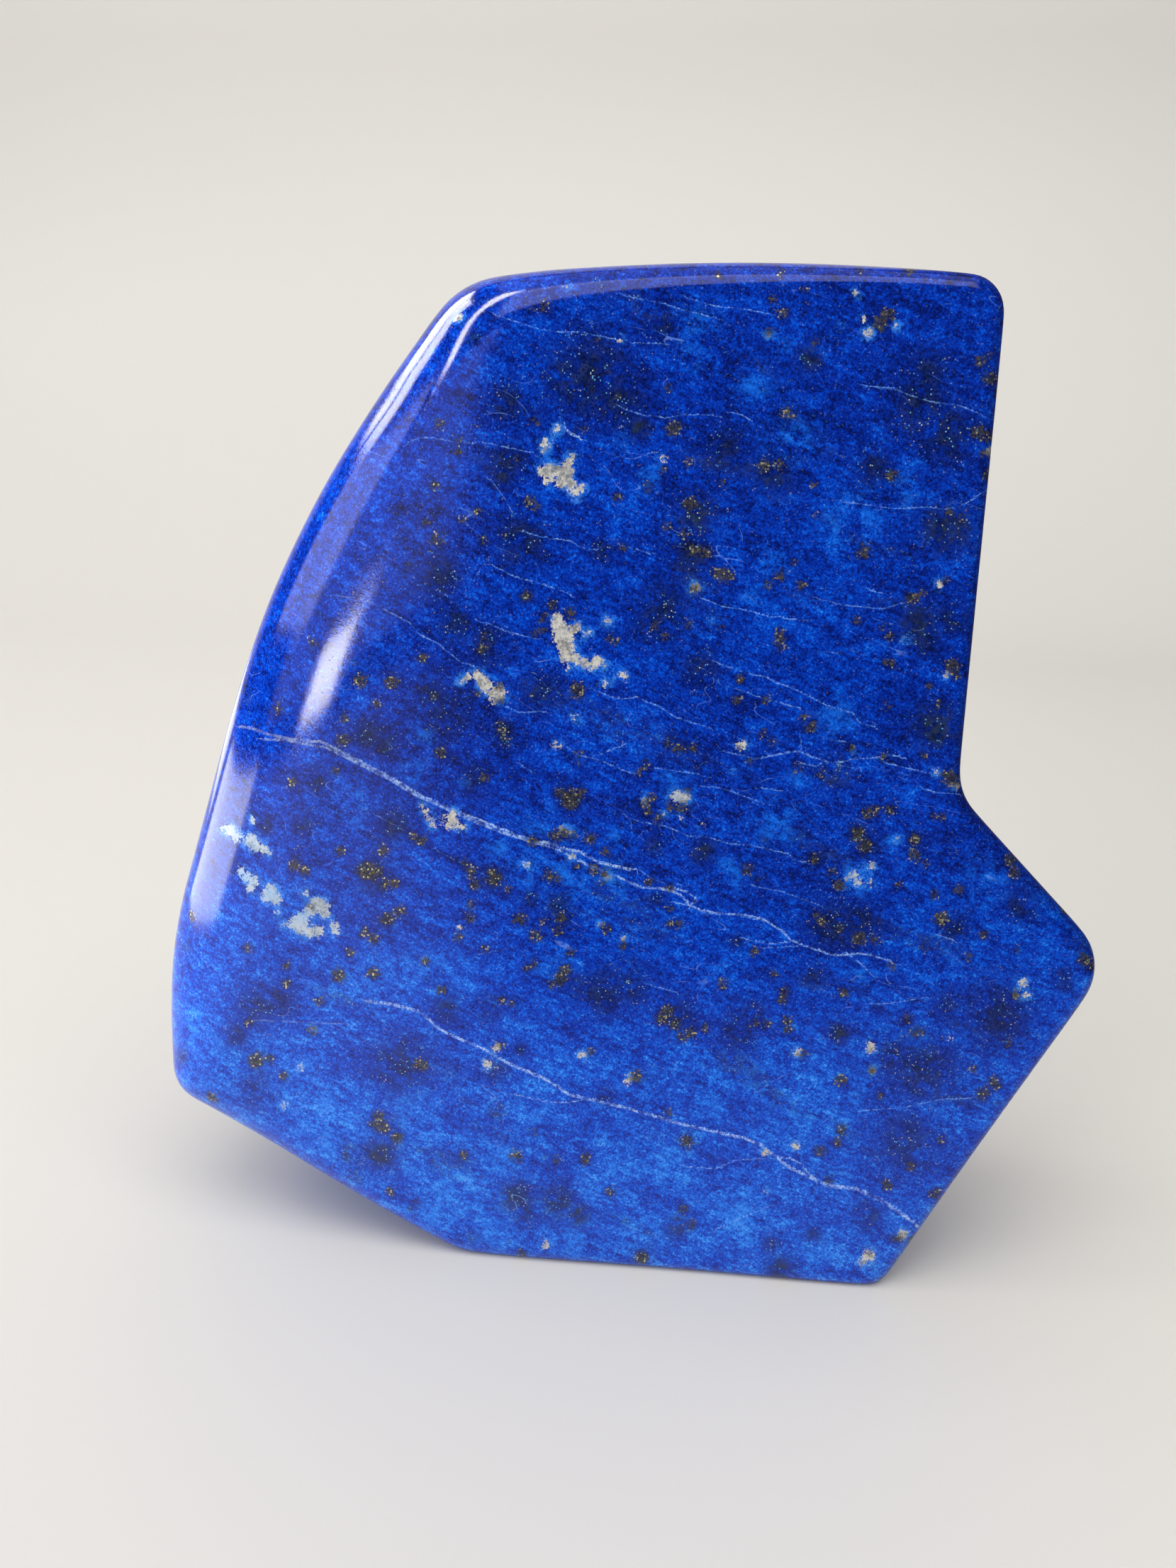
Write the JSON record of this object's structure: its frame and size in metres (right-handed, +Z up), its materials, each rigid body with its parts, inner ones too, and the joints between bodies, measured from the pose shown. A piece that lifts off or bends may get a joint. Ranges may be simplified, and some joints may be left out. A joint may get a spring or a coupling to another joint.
{
  "type": "polished lapis lazuli freeform",
  "caption": "Thick upright slab of polished lapis lazuli with rounded edges, an open notch on one side and a flat ground foot to stand on.",
  "frame": {"origin": "under the middle of the stone's box, at the height of its flat foot", "axes": "+Z up, -Y out of the front face, +X to the right as seen from the front, on the side of the notch"},
  "size_m": [0.1454, 0.0396, 0.1507],
  "materials": {
    "lapis": "polished"
  },
  "bodies": {
    "root": {"lapis_stone": "lapis"}
  },
  "joints": []
}
